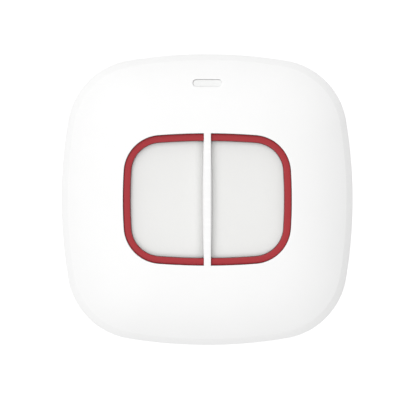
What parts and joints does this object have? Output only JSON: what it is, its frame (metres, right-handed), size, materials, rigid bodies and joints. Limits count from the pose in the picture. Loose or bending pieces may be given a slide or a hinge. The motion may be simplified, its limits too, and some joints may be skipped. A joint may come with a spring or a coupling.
{
  "type": "wireless panic button",
  "caption": "Pillow-shaped wireless panic button: two dished keys side by side in a red-ringed well, a rib between them and a small status window.",
  "frame": {"origin": "centre of the rear panel's outer face, in the plane that lies against the wall or table", "axes": "+Z out of the front towards the finger, +Y towards the status window (top as hung on a wall), +X to the right seen from the front"},
  "size_m": [0.072, 0.072, 0.0175],
  "materials": {
    "shell_plastic": "satin white moulding",
    "panel_plastic": "fine-grained white moulding",
    "ring_plastic": "satin muted red moulding",
    "key_plastic": "fine-grained light grey-white moulding",
    "carrier_plastic": "plain natural moulding",
    "switch_plastic": "matte black",
    "plunger_plastic": "natural",
    "spring_wire": "drawn wire",
    "light_pipe": "milky, softly glossy",
    "led_body": "clear resin over a pale yellow chip",
    "board_laminate": "green solder mask",
    "screw_steel": "zinc plated",
    "cell_steel": "nickel plated",
    "contact_metal": "nickel plated spring sheet",
    "coil_copper": "lacquered copper wire",
    "shield_metal": "tinned sheet",
    "chip_plastic": "matte black",
    "capacitor_ceramic": "ceramic"
  },
  "bodies": {
    "housing": {"front_shell": "shell_plastic", "rear_panel": "panel_plastic", "accent_ring": "ring_plastic", "key_carrier": "carrier_plastic", "battery_holder": "carrier_plastic", "left_switch_body": "switch_plastic", "right_switch_body": "switch_plastic", "tamper_switch_body": "switch_plastic", "tamper_plunger": "plunger_plastic", "left_return_spring": "spring_wire", "right_return_spring": "spring_wire", "light_pipe": "light_pipe", "status_led": "led_body", "main_board": "board_laminate", "radio_module": "board_laminate", "board_screws": "screw_steel", "coin_cell": "cell_steel", "positive_contact": "contact_metal", "negative_contact": "contact_metal", "antenna_coil": "coil_copper", "radio_shield": "shield_metal", "microcontroller": "chip_plastic", "crystal": "shield_metal", "board_capacitors": "capacitor_ceramic"},
    "left_button": {"left_key": "key_plastic"},
    "right_button": {"right_key": "key_plastic"},
    "left_plunger": {"left_switch_plunger": "plunger_plastic"},
    "right_plunger": {"right_switch_plunger": "plunger_plastic"}
  },
  "joints": [
    {"name": "left_key_press", "type": "slide", "parent": "housing", "child": "left_button", "axis": [0, 0, -1], "range_m": [0, 0.0005], "stiffness_N_per_m": 800, "springref_m": -0.0005, "deforming": ["left_return_spring"]},
    {"name": "right_key_press", "type": "slide", "parent": "housing", "child": "right_button", "axis": [0, 0, -1], "range_m": [0, 0.0005], "stiffness_N_per_m": 800, "springref_m": -0.0005, "deforming": ["right_return_spring"]},
    {"name": "left_plunger_press", "type": "slide", "parent": "housing", "child": "left_plunger", "axis": [0, 0, -1], "range_m": [0, 0.0005]},
    {"name": "right_plunger_press", "type": "slide", "parent": "housing", "child": "right_plunger", "axis": [0, 0, -1], "range_m": [0, 0.0005]}
  ],
  "couplings": [
    {"joint": "left_plunger_press", "follows": "left_key_press", "ratio": 1},
    {"joint": "right_plunger_press", "follows": "right_key_press", "ratio": 1}
  ]
}
